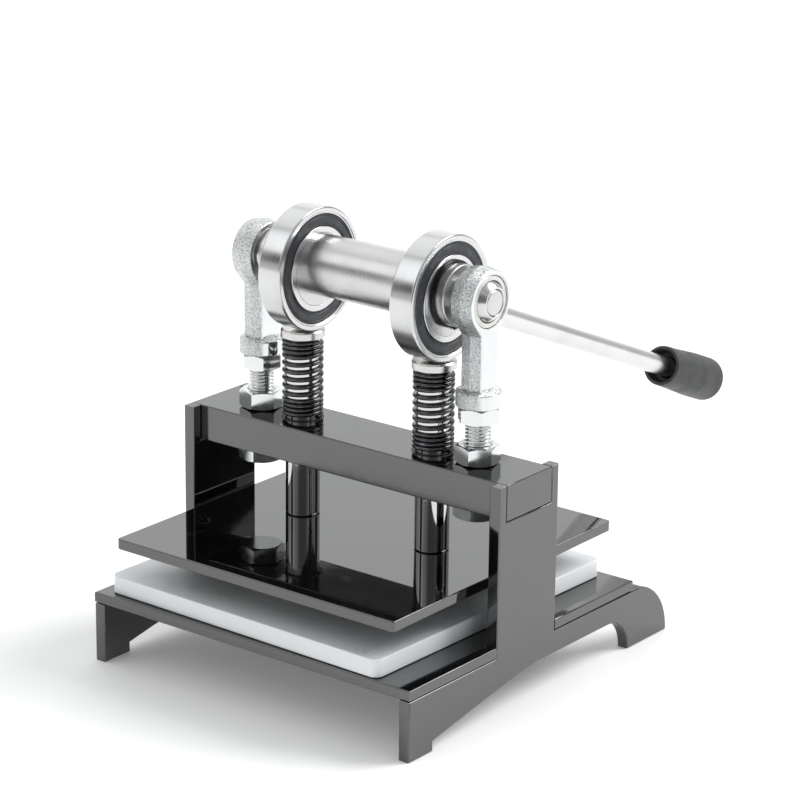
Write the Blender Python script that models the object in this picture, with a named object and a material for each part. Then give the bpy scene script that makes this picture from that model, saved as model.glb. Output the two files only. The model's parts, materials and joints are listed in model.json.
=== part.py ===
"""Hand-lever press with an eccentric shaft: a black plate frame, a sprung press plate on two
pillars, and a shaft with two eccentric ball bearings that push the pillars down.

Machine axes: +X runs along the eccentric shaft, +Y points to the back, +Z is up. The machine's
own zero is on the surface it stands on, below the middle of the shaft. Everything hangs on the
empty "press_origin", which puts the scene's origin below the centre of the whole object.
"""
from math import acos, cos, pi, radians, sin, sqrt

import bmesh
import bpy
from mathutils import Matrix, Vector

MM = 0.001
GAP = 0.3 * MM                      # between pieces that rest on or sit in each other

# Frame
WIDTH = 216 * MM                    # over the outer faces of the side plates
DEPTH = 200 * MM                    # base plate, front to back
SIDE_T = 7 * MM
BASE_TOP = 39.5 * MM
BASE_T = 6 * MM
UPRIGHT_W = 52 * MM
FOOT_L = 20 * MM
FOOT_STEP = 5.5 * MM
ARCH_H = 20.2 * MM
ARCH_KNEE_Y = 8 * MM                # the arch climbs to here, then runs level
ARCH_BOW = 0.5 * MM
HEEL_CENTRE_Y = 101 * MM            # rear foot: two arcs in the side plate
HEEL_R = 34 * MM
HEEL_INNER_Y = 77 * MM
HEEL_INNER_R = ARCH_H
BEAM_W = 39.4 * MM
BEAM_H = 20 * MM
BEAM_TOP = 127.5 * MM
EDGE_BREAK = 0.5 * MM               # broken edges of the cut plates

# Cutting board
BOARD_W = 187 * MM
BOARD_D = 194 * MM
BOARD_T = 10 * MM
BOARD_CORNER_R = 5 * MM
BOARD_X = -5.5 * MM
BOARD_TURN = radians(-1.2)

# Ram: press plate, pillars, caps and springs
PLATE_W = 188.8 * MM
PLATE_D = 193 * MM
PLATE_T = 6 * MM
PLATE_TOP = 72.5 * MM
PLATE_CORNER_R = 2 * MM
PILLAR_X = 44.6 * MM
PILLAR_R = 9.5 * MM
SPIGOT_R = 6.7 * MM
SPIGOT_L = 2.4 * MM
CAP_R = 12.2 * MM
CAP_H = 4.6 * MM
CAP_SLACK = 0.65 * MM               # free play between cap and bearing at the lowest point
BUSH_R = 11.3 * MM
WIRE_R = 1.1 * MM
COIL_R = 11 * MM
COIL_TURNS_END = 3.5                # closed turns at each end
COIL_TURNS_OPEN = 7
COIL_CLOSED_PITCH = 2.5 * MM
SCREW_R = 4 * MM
SCREW_HEAD_R = 8 * MM
SCREW_L = 22 * MM

# Eccentric shaft
SHAFT_Z = 216 * MM
THROW = 2.9 * MM                    # the bearings' centre lies this far below the shaft's axis
SHAFT_R = 16.6 * MM
SHAFT_HALF = 62.5 * MM
COLLAR_HALF = 64.2 * MM
COLLAR_R = 10 * MM
JOURNAL_R = 6.9 * MM
LOBE_R = 19.7 * MM
HANDLE_DROP = radians(22.6)         # the handle's slope below the horizontal, towards the back

# Deep-groove ball bearing, 40 x 68 x 15
BRG_BORE_R = 20 * MM
BRG_R = 34 * MM
BRG_W = 15 * MM
BRG_PITCH_R = 27 * MM
BRG_X = {"left": -40.4 * MM, "right": 47.8 * MM}   # the shaft lies 3.7 mm right of the pillars
GROOVE_R = 4.15 * MM
BALL_R = 3.5 * MM
BALLS = 12
SEAL_IN_R = 23.6 * MM
SEAL_OUT_R = 29.9 * MM
CLIP_T = 1.5 * MM
CLIP_IN_R = 15.9 * MM
CLIP_OUT_R = 18 * MM
CLIP_LUG_R = 20 * MM
CLIP_TURN = radians(30)       # its opening, from straight down towards the back

# Female rod end for a 14 mm pin, its bolt and nuts
BOLT_X = 74 * MM
EYE_R = 18.1 * MM
EYE_T = 13.5 * MM
EYE_BORE_R = 14.2 * MM
LINER_R = 13.9 * MM
LINER_RACE_R = 13 * MM
LINER_T = 12.6 * MM
ROD_BALL_R = 12.6 * MM
ROD_BALL_W = 19 * MM
ROD_BALL_BORE_R = 7.2 * MM
ROD_END_H = 57 * MM
NECK_X = 8.5 * MM
NECK_Y = 9.5 * MM
NECK_FLAT = 4 * MM
ROD_COLLAR_R = 12.2 * MM
ROD_COLLAR_H = 8.5 * MM
BOLT_R = 7 * MM
BOLT_HOLE_R = 7.3 * MM
BOLT_AF = 21.5 * MM
BOLT_HEAD_H = 9.5 * MM
BOLT_L = 80 * MM
NUT_AF = 21.6 * MM
NUT_H = 10 * MM
JAM_AF = 20 * MM
JAM_H = 8.6 * MM

# Handle
ROD_R = 6 * MM
ROD_END_S = 354 * MM                # distances along the handle, from the shaft's axis
GRIP_START_S = 311 * MM
GRIP_END_S = 367 * MM
GRIP_FRONT_R = 12.2 * MM
GRIP_BACK_R = 13.5 * MM
GRIP_MOUTH_R = 10 * MM
GRIP_MOUTH_L = 5 * MM

GRIP_TIP_Y = GRIP_END_S * cos(HANDLE_DROP) + GRIP_BACK_R * sin(HANDLE_DROP) * 0.78
ORIGIN_Y = (GRIP_TIP_Y - DEPTH / 2) / 2

SIDES = {"left": -1, "right": 1}

BLACK = (0.012, 0.012, 0.014, 1)
STEEL = (0.62, 0.62, 0.63, 1)
MATERIALS = {
    "black_steel": (BLACK, 0.28, 0.6),
    "press_black": (BLACK, 0.08, 0.6),
    "polished_steel": (STEEL, 0.12, 1.0),
    "turned_steel": (STEEL, 0.25, 1.0),
    "bearing_steel": ((0.72, 0.72, 0.73, 1), 0.15, 1.0),
    "spring_steel": ((0.08, 0.08, 0.085, 1), 0.22, 1.0),
    "zinc_plate": ((0.7, 0.72, 0.72, 1), 0.3, 1.0),
    "bronze": ((0.55, 0.38, 0.18, 1), 0.35, 1.0),
    "seal_rubber": ((0.02, 0.022, 0.026, 1), 0.5, 0.0),
    "white_board": ((0.85, 0.88, 0.9, 1), 0.35, 0.0),
    "grip_rubber": ((0.03, 0.032, 0.034, 1), 0.45, 0.0),
}


def clear_scene():
    for obj in list(bpy.data.objects):
        bpy.data.objects.remove(obj, do_unlink=True)


def material(node, kind):
    """A material of the node's own, in one of the finishes above."""
    colour, roughness, metallic = MATERIALS[kind]
    mat = bpy.data.materials.new(node + "_finish")
    mat.use_nodes = True
    shader = mat.node_tree.nodes["Principled BSDF"]
    shader.inputs["Base Color"].default_value = colour
    shader.inputs["Roughness"].default_value = roughness
    shader.inputs["Metallic"].default_value = metallic
    return mat


def empty(name, location, parent=None):
    obj = bpy.data.objects.new(name, None)
    obj.location = location
    obj.parent = parent
    bpy.context.collection.objects.link(obj)
    return obj


def add(name, bm, kind, parent, location=(0, 0, 0), rotation=(0, 0, 0), smooth=True):
    """Turns a bmesh into a named object with its faces pointing out."""
    bmesh.ops.recalc_face_normals(bm, faces=bm.faces)
    mesh = bpy.data.meshes.new(name)
    bm.to_mesh(mesh)
    bm.free()
    if smooth:
        mesh.shade_smooth()
        mesh.set_sharp_from_angle(angle=radians(30))
    if kind:
        mesh.materials.append(material(name, kind))
    obj = bpy.data.objects.new(name, mesh)
    obj.location = location
    obj.rotation_euler = rotation
    obj.parent = parent
    bpy.context.collection.objects.link(obj)
    return obj


def boolean(obj, tool, operation="DIFFERENCE"):
    """Joins a helper solid to obj, or cuts it away. The helper itself isn't part of the model."""
    tool.hide_render = True
    tool.display_type = "WIRE"
    mod = obj.modifiers.new(operation.lower(), "BOOLEAN")
    mod.operation = operation
    mod.object = tool
    mod.solver = "EXACT"


# Shapes ---------------------------------------------------------------------------------------

def turned(rings, segments, closed=False, phase=0.0):
    """A solid of rings about Z. A ring is (radius, height); either may be a function of the angle.
    A radius of 0 is a point. closed joins the last ring to the first, for a piece with a bore."""
    bm = bmesh.new()
    loops = []
    for radius, height in rings:
        if radius == 0:
            loops.append([bm.verts.new((0, 0, height))])
            continue
        loop = []
        for i in range(segments):
            a = 2 * pi * i / segments
            r = radius(a) if callable(radius) else radius
            z = height(a) if callable(height) else height
            loop.append(bm.verts.new((r * cos(a + phase), r * sin(a + phase), z)))
        loops.append(loop)
    pairs = list(zip(loops, loops[1:]))
    if closed:
        pairs.append((loops[-1], loops[0]))
    for low, high in pairs:
        for i in range(segments):
            j = (i + 1) % segments
            corners = [low[i % len(low)], low[j % len(low)], high[j % len(high)], high[i % len(high)]]
            bm.faces.new(list(dict.fromkeys(corners)))
    return bm


def along_x(bm):
    """Turns a solid made about Z so that it lies about X."""
    bmesh.ops.rotate(bm, verts=bm.verts, matrix=Matrix.Rotation(pi / 2, 3, "Y"))
    return bm


def arc(centre, radius, start, end, steps):
    """Points of an arc in a plane, from the start angle to the end angle, both included."""
    step = (end - start) / steps
    return [(centre[0] + radius * cos(start + step * i), centre[1] + radius * sin(start + step * i))
            for i in range(steps + 1)]


def rounded_rectangle(width, depth, radius, steps):
    points = []
    for quarter, (sx, sy) in enumerate(((1, 1), (-1, 1), (-1, -1), (1, -1))):
        centre = (sx * (width / 2 - radius), sy * (depth / 2 - radius))
        points += arc(centre, radius, quarter * pi / 2, (quarter + 1) * pi / 2, steps)
    return points


def slab(outline, thickness, broken_edge=0.0):
    """An outline in XY, extruded up from Z = 0, with its two rims broken."""
    bm = bmesh.new()
    face = bm.faces.new([bm.verts.new((x, y, 0)) for x, y in outline])
    raised = bmesh.ops.extrude_face_region(bm, geom=[face])["geom"]
    bmesh.ops.translate(bm, verts=[v for v in raised if isinstance(v, bmesh.types.BMVert)],
                        vec=(0, 0, thickness))
    if broken_edge:
        rims = [e for e in bm.edges if abs(e.verts[0].co.z - e.verts[1].co.z) < thickness / 2]
        bmesh.ops.bevel(bm, geom=rims, offset=broken_edge, segments=1, affect="EDGES",
                        clamp_overlap=True)
    return bm


def box(x, y, z):
    """A box from three (low, high) pairs."""
    bm = bmesh.new()
    size = Vector((x[1] - x[0], y[1] - y[0], z[1] - z[0]))
    middle = Vector((x[0] + x[1], y[0] + y[1], z[0] + z[1])) / 2
    bmesh.ops.create_cube(bm, size=1.0, matrix=Matrix.Translation(middle) @ Matrix.Diagonal(size).to_4x4())
    return bm


def hexagon(across_flats, limit=None):
    """The radius of a hexagon as a function of the angle, never more than limit."""
    def radius(angle):
        r = across_flats / 2 / cos((angle + pi / 6) % (pi / 3) - pi / 6)
        return min(r, limit) if limit else r
    return radius


def hexagon_rings(across_flats, low, high):
    """The rings of a hexagonal block whose corners are chamfered at 30 degrees at both ends."""
    face_r = across_flats / 2 * 0.96
    outline = hexagon(across_flats)

    def drop(angle):
        return (outline(angle) - face_r) * sin(radians(30))
    return [(face_r, low), (outline, lambda a: low + drop(a)),
            (outline, lambda a: high - drop(a)), (face_r, high)]


# Frame ----------------------------------------------------------------------------------------

def side_outline():
    """Side plate in the (Y, Z) plane: feet, arch, rounded heel, upright and the beam's notch."""
    front = -DEPTH / 2
    shelf = BASE_TOP - BASE_T - GAP
    seat = BEAM_TOP - BEAM_H - GAP
    inner = BEAM_W / 2 + GAP
    outer = UPRIGHT_W / 2
    toe = front + FOOT_L
    heel_top = acos(shelf / HEEL_R)
    points = [(front, 0), (toe, 0)]
    steps = 4
    for i in range(steps + 1):
        t = i / steps
        bow = 4 * ARCH_BOW * t * (1 - t)
        points.append((toe + (ARCH_KNEE_Y - toe) * t, FOOT_STEP + (ARCH_H - FOOT_STEP) * t + bow))
    points += arc((HEEL_INNER_Y, 0), HEEL_INNER_R, pi / 2, 0, 6)
    points += arc((HEEL_CENTRE_Y, 0), HEEL_R, 0, pi / 2 - heel_top, 9)
    points += [(outer, shelf), (outer, BEAM_TOP), (inner, BEAM_TOP), (inner, seat)]
    points += [(-inner, seat), (-inner, BEAM_TOP), (-outer, BEAM_TOP), (-outer, shelf)]
    points += [(front, shelf)]
    return points


def make_side_plates(parent):
    for side, sign in SIDES.items():
        bm = slab(side_outline(), SIDE_T, EDGE_BREAK)
        # The outline's plane stands up: its first axis becomes Y, its second Z.
        stand = Matrix(((0, 0, 1), (1, 0, 0), (0, 1, 0)))
        bmesh.ops.rotate(bm, verts=bm.verts, matrix=stand)
        x = WIDTH / 2 - SIDE_T if sign > 0 else -WIDTH / 2
        add(f"side_plate_{side}", bm, "black_steel", parent, (x, 0, 0), smooth=False)


def make_base_plate(parent):
    """The base plate rests on both side plates and is notched round their uprights."""
    x = WIDTH / 2
    y = DEPTH / 2
    notch_x = x - SIDE_T - GAP
    notch_y = UPRIGHT_W / 2 + GAP
    right = [(x, -y), (x, -notch_y), (notch_x, -notch_y), (notch_x, notch_y), (x, notch_y), (x, y)]
    left = [(-px, -py) for px, py in right]
    add("base_plate", slab(right + left, BASE_T, EDGE_BREAK), "black_steel", parent,
        (0, 0, BASE_TOP - BASE_T), smooth=False)


def make_top_beam(parent):
    half = WIDTH / 2
    outline = [(-half, -BEAM_W / 2), (half, -BEAM_W / 2), (half, BEAM_W / 2), (-half, BEAM_W / 2)]
    beam = add("top_beam", slab(outline, BEAM_H, EDGE_BREAK), "black_steel", parent,
               (0, 0, BEAM_TOP - BEAM_H), smooth=False)
    for side, sign in SIDES.items():
        for use, x, radius in (("bush", PILLAR_X, BUSH_R + GAP), ("bolt", BOLT_X, BOLT_HOLE_R)):
            bore = turned([(0, -BEAM_H), (radius, -BEAM_H), (radius, 2 * BEAM_H), (0, 2 * BEAM_H)], 20)
            boolean(beam, add(f"cut_beam_{use}_{side}", bore, None, parent,
                              (sign * x, 0, BEAM_TOP - BEAM_H)))


def make_guide_bushes(parent):
    inner = PILLAR_R + GAP
    rings = [(inner, 0), (BUSH_R, 0), (BUSH_R, BEAM_H), (inner, BEAM_H)]
    for side, sign in SIDES.items():
        add(f"guide_bush_{side}", turned(rings, 20, closed=True), "bronze", parent,
            (sign * PILLAR_X, 0, BEAM_TOP - BEAM_H))


def make_cutting_board(parent):
    outline = rounded_rectangle(BOARD_W, BOARD_D, BOARD_CORNER_R, 3)
    add("cutting_board", slab(outline, BOARD_T, EDGE_BREAK), "white_board", parent,
        (BOARD_X, 0, BASE_TOP + GAP), (0, 0, BOARD_TURN), smooth=False)


# Rod ends and their bolts ---------------------------------------------------------------------

def make_bolts(parent):
    """A hexagon bolt stands up through the beam at each end and carries a rod end."""
    under_beam = BEAM_TOP - BEAM_H - GAP
    tip = under_beam + BOLT_L
    chamfer = 1 * MM
    bolt = [(0, under_beam - BOLT_HEAD_H)]
    bolt += hexagon_rings(BOLT_AF, under_beam - BOLT_HEAD_H, under_beam)
    bolt += [(BOLT_R, under_beam), (BOLT_R, tip - chamfer), (BOLT_R - chamfer, tip), (0, tip)]
    nut_low = BEAM_TOP + GAP
    jam_high = SHAFT_Z - ROD_END_H - GAP
    for side, sign in SIDES.items():
        place = (sign * BOLT_X, 0, 0)
        add(f"rod_bolt_{side}", turned(bolt, 24, phase=radians(19)), "zinc_plate", parent, place)
        for name, af, low, high, phase in (("beam_nut", NUT_AF, nut_low, nut_low + NUT_H, 13),
                                           ("jam_nut", JAM_AF, jam_high - JAM_H, jam_high, 45)):
            rings = hexagon_rings(af, low, high)
            rings = [(BOLT_HOLE_R, low)] + rings + [(BOLT_HOLE_R, high)]
            add(f"{name}_{side}", turned(rings, 12, closed=True, phase=radians(phase)), "zinc_plate",
                parent, place)


def neck_outline():
    """The rod end's eight-sided neck, from its two pairs of flats."""
    quarter = [(NECK_X, NECK_FLAT), (NECK_FLAT, NECK_Y)]
    left = [(-x, y) for x, y in reversed(quarter)]
    return quarter + left + [(-x, -y) for x, y in quarter] + [(-x, -y) for x, y in left]


def make_rod_end(side, sign, parent, crank):
    """Housing with its eye on the shaft's axis, a bronze liner, and the ball on the journal."""
    centre = (sign * BOLT_X, 0, SHAFT_Z)
    flank = EYE_T / 2
    rim = 1.2 * MM
    eye = [(0, -flank), (EYE_R - rim, -flank), (EYE_R, -flank + 2 * rim),
           (EYE_R, flank - 2 * rim), (EYE_R - rim, flank), (0, flank)]
    housing = add(f"rod_end_housing_{side}", along_x(turned(eye, 28)), "zinc_plate", parent, centre)
    neck_low = ROD_COLLAR_H - ROD_END_H - 1 * MM
    neck = slab(neck_outline(), -EYE_BORE_R - 1 * MM - neck_low)
    tools = [("neck", neck, (centre[0], 0, SHAFT_Z + neck_low), "UNION")]
    foot = SHAFT_Z - ROD_END_H
    edge = 0.8 * MM
    collar = [(0, 0), (ROD_COLLAR_R - edge, 0), (ROD_COLLAR_R, edge),
              (ROD_COLLAR_R, ROD_COLLAR_H - edge), (ROD_COLLAR_R - 2 * edge, ROD_COLLAR_H),
              (0, ROD_COLLAR_H)]
    tools.append(("collar", turned(collar, 20), (centre[0], 0, foot), "UNION"))
    bore = [(0, -EYE_T), (EYE_BORE_R, -EYE_T), (EYE_BORE_R, EYE_T), (0, EYE_T)]
    tools.append(("bore", along_x(turned(bore, 24)), centre, "DIFFERENCE"))
    depth = BEAM_TOP - BEAM_H - GAP + BOLT_L + 1 * MM - foot
    thread = [(0, -1 * MM), (BOLT_HOLE_R, -1 * MM), (BOLT_HOLE_R, depth), (0, depth)]
    tools.append(("thread", turned(thread, 16), (centre[0], 0, foot), "DIFFERENCE"))
    for use, bm, place, operation in tools:
        boolean(housing, add(f"tool_{use}_{side}", bm, None, parent, place), operation)

    half = LINER_T / 2
    race = [(sqrt(LINER_RACE_R ** 2 - x * x), x) for x in (half, half / 3, -half / 3, -half)]
    liner = [(LINER_R, -half), (LINER_R, half)] + race
    add(f"rod_end_liner_{side}", along_x(turned(liner, 24, closed=True)), "bronze", parent, centre)

    half = ROD_BALL_W / 2
    steps = 6
    sphere = [(sqrt(ROD_BALL_R ** 2 - x * x), x)
              for x in (half - ROD_BALL_W * i / steps for i in range(steps + 1))]
    ball = [(ROD_BALL_BORE_R, -half), (ROD_BALL_BORE_R, half)] + sphere
    add(f"rod_end_ball_{side}", along_x(turned(ball, 20, closed=True)), "bearing_steel", crank,
        (sign * BOLT_X, 0, 0))


# Eccentric shaft and bearings -----------------------------------------------------------------

def make_shaft(crank):
    """One turned bar: a thick middle, two eccentric lobes, and a journal at each end."""
    face = BRG_W / 2
    groove_in_r = CLIP_IN_R - 2 * GAP
    chamfer = 0.6 * MM
    tip = BOLT_X + ROD_BALL_W / 2

    def end(bearing_x):
        groove = bearing_x + face + CLIP_T + 2 * GAP
        return [(SHAFT_R, bearing_x), (groove_in_r, bearing_x), (groove_in_r, groove), (SHAFT_R, groove),
                (SHAFT_R, SHAFT_HALF - chamfer), (SHAFT_R - chamfer, SHAFT_HALF),
                (COLLAR_R, SHAFT_HALF), (COLLAR_R, COLLAR_HALF), (JOURNAL_R, COLLAR_HALF),
                (JOURNAL_R, tip - chamfer), (JOURNAL_R - chamfer, tip), (0, tip)]
    rings = [(r, -x) for r, x in reversed(end(-BRG_X["left"]))] + end(BRG_X["right"])
    shaft = add("eccentric_shaft", along_x(turned(rings, 24)), "polished_steel", crank)
    lobe = [(0, -face), (LOBE_R, -face), (LOBE_R, face), (0, face)]
    for side, x in BRG_X.items():
        boolean(shaft, add(f"tool_lobe_{side}", along_x(turned(lobe, 28)), None, crank,
                           (x, 0, -THROW)), "UNION")
    socket = [(0, -GAP), (ROD_R + GAP, -GAP), (ROD_R + GAP, 2 * SHAFT_R), (0, 2 * SHAFT_R)]
    boolean(shaft, add("cut_handle_socket", turned(socket, 16), None, crank,
                       rotation=(-pi / 2 - HANDLE_DROP, 0, 0)))


def race_arc(side, steps):
    """The ball groove's points, from +X to -X: side is 1 in the outer ring, -1 in the inner."""
    edge = 3.5 * MM
    points = []
    for i in range(steps + 1):
        x = edge - 2 * edge * i / steps
        points.append((BRG_PITCH_R + side * sqrt(GROOVE_R ** 2 - x * x), x))
    return points


def make_bearing(side, sign, crank, ring_parent, cage_parent):
    face = BRG_W / 2
    seat = face - 1.6 * MM              # the seals' step in both rings
    chamfer = 0.8 * MM
    segments = 28

    shoulder = SEAL_IN_R - GAP
    inner = [(BRG_BORE_R, face), (BRG_BORE_R, -face), (shoulder, -face), (shoulder, -seat)]
    inner += [(r, -x) for r, x in race_arc(-1, 3)]
    inner += [(shoulder, seat), (shoulder, face)]
    add(f"bearing_inner_ring_{side}", along_x(turned(inner, segments, closed=True)), "bearing_steel",
        crank, (BRG_X[side], 0, -THROW))

    land = SEAL_OUT_R + GAP
    outer = [(BRG_R - chamfer, -face), (BRG_R, -face + chamfer), (BRG_R, face - chamfer),
             (BRG_R - chamfer, face), (land, face), (land, seat)]
    outer += race_arc(1, 3)
    outer += [(land, -seat), (land, -face)]
    add(f"bearing_outer_ring_{side}", along_x(turned(outer, segments, closed=True)), "bearing_steel",
        ring_parent)

    thick = 1 * MM
    seal = [(SEAL_IN_R, -thick / 2), (SEAL_OUT_R, -thick / 2), (SEAL_OUT_R, thick / 2),
            (SEAL_IN_R, thick / 2)]
    for place, way in (("inboard", -sign), ("outboard", sign)):
        add(f"bearing_seal_{side}_{place}", along_x(turned(seal, segments, closed=True)),
            "seal_rubber", ring_parent, (way * (face - GAP - thick / 2), 0, 0))

    ribbon = 0.7 * MM
    cage = [(BRG_PITCH_R - ribbon, -1.8 * MM), (BRG_PITCH_R + ribbon, -1.8 * MM),
            (BRG_PITCH_R + ribbon, 1.8 * MM), (BRG_PITCH_R - ribbon, 1.8 * MM)]
    cage_obj = add(f"bearing_ball_cage_{side}", along_x(turned(cage, 2 * BALLS, closed=True)),
                   "bearing_steel", cage_parent)
    balls = bmesh.new()
    for i in range(BALLS):
        a = 2 * pi * (i + 0.5) / BALLS
        place = Matrix.Translation((0, BRG_PITCH_R * cos(a), BRG_PITCH_R * sin(a)))
        bmesh.ops.create_icosphere(balls, subdivisions=1, radius=BALL_R, matrix=place)
    boolean(cage_obj, add(f"tool_balls_{side}", balls, None, cage_parent), "UNION")


def clip_outline():
    """An external retaining ring in a plane: open below, with a lug at each end."""
    opening = radians(14)
    lug = radians(13)
    down = -pi / 2 + CLIP_TURN
    outer = arc((0, 0), CLIP_OUT_R, down + opening + lug, down + 2 * pi - opening - lug, 14)
    inner = arc((0, 0), CLIP_IN_R, down + 2 * pi - opening, down + opening, 14)
    right = arc((0, 0), CLIP_LUG_R, down + opening, down + opening + lug, 1)
    left = arc((0, 0), CLIP_LUG_R, down + 2 * pi - opening - lug, down + 2 * pi - opening, 1)
    return right + outer + left + inner


def make_retaining_rings(crank):
    """A ring outboard of each bearing keeps it on its lobe."""
    lie = Matrix(((0, 0, 1), (1, 0, 0), (0, 1, 0)))
    reach = BRG_W / 2 + GAP
    for side, sign in SIDES.items():
        bm = slab(clip_outline(), CLIP_T)
        bmesh.ops.rotate(bm, verts=bm.verts, matrix=lie)
        x = BRG_X[side] + sign * reach + (0 if sign > 0 else -CLIP_T)
        add(f"retaining_ring_{side}", bm, "spring_steel", crank, (x, 0, 0), smooth=False)


# Handle ---------------------------------------------------------------------------------------

def make_handle(crank):
    tilt = (-pi / 2 - HANDLE_DROP, 0, 0)
    chamfer = 0.8 * MM
    rod = [(0, 0), (ROD_R - chamfer, 0), (ROD_R, chamfer), (ROD_R, ROD_END_S - chamfer),
           (ROD_R - chamfer, ROD_END_S), (0, ROD_END_S)]
    add("handle_rod", turned(rod, 20), "turned_steel", crank, rotation=tilt)
    round_r = 4 * MM
    bore = ROD_R + GAP
    dome = arc((GRIP_BACK_R - round_r, GRIP_END_S - round_r), round_r, 0, pi / 2, 4)
    mouth = [(bore, ROD_END_S + GAP), (bore, GRIP_START_S + GRIP_MOUTH_L),
             (GRIP_MOUTH_R, GRIP_START_S + GRIP_MOUTH_L * 0.8), (GRIP_MOUTH_R, GRIP_START_S)]
    skin = [(GRIP_FRONT_R, GRIP_START_S), (GRIP_FRONT_R + 0.5 * MM, GRIP_START_S + 2 * MM)]
    grip = [(0, ROD_END_S + GAP)] + mouth + skin + dome + [(0, GRIP_END_S)]
    add("handle_grip", turned(grip, 24), "grip_rubber", crank, rotation=tilt)


# Ram ------------------------------------------------------------------------------------------

def make_press_plate(ram):
    outline = rounded_rectangle(PLATE_W, PLATE_D, PLATE_CORNER_R, 2)
    plate = add("press_plate", slab(outline, PLATE_T, EDGE_BREAK), "press_black", ram,
                (0, 0, PLATE_TOP - PLATE_T), smooth=False)
    sink = SCREW_HEAD_R - SCREW_R
    hole = [(0, -1 * MM), (SCREW_HEAD_R + GAP, -1 * MM), (SCREW_HEAD_R + GAP, 0), (SCREW_R + GAP, sink),
            (SCREW_R + GAP, 2 * PLATE_T), (0, 2 * PLATE_T)]
    for side, sign in SIDES.items():
        boolean(plate, add(f"cut_screw_{side}", turned(hole, 20), None, ram,
                           (sign * PILLAR_X, 0, PLATE_TOP - PLATE_T)))


def make_press_plate_screws(ram):
    """Countersunk socket screws hold the press plate up against the pillars."""
    flush = GAP
    sink = SCREW_HEAD_R - SCREW_R
    rings = [(0, flush), (SCREW_HEAD_R - GAP, flush), (SCREW_R, sink + flush), (SCREW_R, SCREW_L),
             (0, SCREW_L)]
    for side, sign in SIDES.items():
        place = (sign * PILLAR_X, 0, PLATE_TOP - PLATE_T)
        screw = add(f"press_plate_screw_{side}", turned(rings, 20), "zinc_plate", ram, place)
        corner = 2.9 * MM
        socket = [(0, -1 * MM), (corner, -1 * MM), (corner, 3 * MM), (0, 3 * MM)]
        boolean(screw, add(f"cut_key_{side}", turned(socket, 6), None, ram, place))


def make_pillars(ram, cap_low):
    low = PLATE_TOP + GAP
    high = cap_low - GAP
    chamfer = 0.6 * MM
    bore_r = SCREW_R + GAP
    bore_top = PLATE_TOP - PLATE_T + SCREW_L + 1 * MM
    rings = [(0, bore_top), (bore_r, bore_top), (bore_r, low), (PILLAR_R - chamfer, low),
             (PILLAR_R, low + chamfer), (PILLAR_R, high), (SPIGOT_R, high), (SPIGOT_R, high + SPIGOT_L),
             (0, high + SPIGOT_L)]
    for side, sign in SIDES.items():
        add(f"pillar_{side}", turned(rings, 20), "polished_steel", ram, (sign * PILLAR_X, 0, 0))


def make_caps(ram, cap_low):
    """A hardened cap sits on each pillar's spigot, between the spring and the bearing."""
    high = cap_low + CAP_H
    chamfer = 0.9 * MM
    pocket = cap_low + SPIGOT_L
    rings = [(0, pocket), (SPIGOT_R + GAP, pocket), (SPIGOT_R + GAP, cap_low), (CAP_R, cap_low),
             (CAP_R, high - chamfer), (CAP_R - chamfer, high), (0, high)]
    for side, sign in SIDES.items():
        add(f"spring_cap_{side}", turned(rings, 24), "turned_steel", ram, (sign * PILLAR_X, 0, 0))


def coil(low, high):
    """A compression spring about Z: closed turns at both ends and open turns between them."""
    per_turn = 9
    sides = 4
    turns = 2 * COIL_TURNS_END + COIL_TURNS_OPEN
    closed_h = COIL_TURNS_END * COIL_CLOSED_PITCH
    open_h = high - low - 2 * WIRE_R - 2 * closed_h

    def height(turn):
        if turn < COIL_TURNS_END:
            return turn * COIL_CLOSED_PITCH
        if turn > turns - COIL_TURNS_END:
            return closed_h + open_h + (turn - turns + COIL_TURNS_END) * COIL_CLOSED_PITCH
        return closed_h + (turn - COIL_TURNS_END) / COIL_TURNS_OPEN * open_h

    bm = bmesh.new()
    rings = []
    for i in range(int(turns * per_turn) + 1):
        turn = i / per_turn
        a = 2 * pi * turn
        z = low + WIRE_R + height(turn)
        ring = []
        for k in range(sides):
            b = 2 * pi * (k + 0.5) / sides
            r = COIL_R + WIRE_R * cos(b)
            ring.append(bm.verts.new((r * cos(a), r * sin(a), z + WIRE_R * sin(b))))
        rings.append(ring)
    for near, far in zip(rings, rings[1:]):
        for k in range(sides):
            m = (k + 1) % sides
            bm.faces.new((near[k], near[m], far[m], far[k]))
    bm.faces.new(rings[0])
    bm.faces.new(rings[-1])
    return bm


def make_springs(parent, cap_low):
    for side, sign in SIDES.items():
        add(f"return_spring_{side}", coil(BEAM_TOP + GAP, cap_low - GAP), "spring_steel", parent,
            (sign * PILLAR_X, 0, 0))


def main():
    clear_scene()
    root = empty("press_origin", (0, -ORIGIN_Y, 0))
    crank = empty("crank_axis", (0, 0, SHAFT_Z), root)
    ram = empty("ram_axis", (0, 0, 0), root)
    cap_low = SHAFT_Z - THROW - BRG_R - CAP_SLACK - CAP_H

    make_side_plates(root)
    make_base_plate(root)
    make_top_beam(root)
    make_guide_bushes(root)
    make_cutting_board(root)
    make_bolts(root)
    for side, sign in SIDES.items():
        make_rod_end(side, sign, root, crank)
        ring_axis = empty(f"bearing_axis_{side}", (BRG_X[side], 0, -THROW), crank)
        cage_axis = empty(f"cage_axis_{side}", (BRG_X[side], 0, -THROW), crank)
        make_bearing(side, sign, crank, ring_axis, cage_axis)
    make_shaft(crank)
    make_retaining_rings(crank)
    make_handle(crank)
    make_press_plate(ram)
    make_press_plate_screws(ram)
    make_pillars(ram, cap_low)
    make_caps(ram, cap_low)
    make_springs(root, cap_low)


main()
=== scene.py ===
import json
from math import acos, cos, pi, radians, sin, sqrt

import bmesh
import bpy
from mathutils import Matrix, Vector


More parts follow.
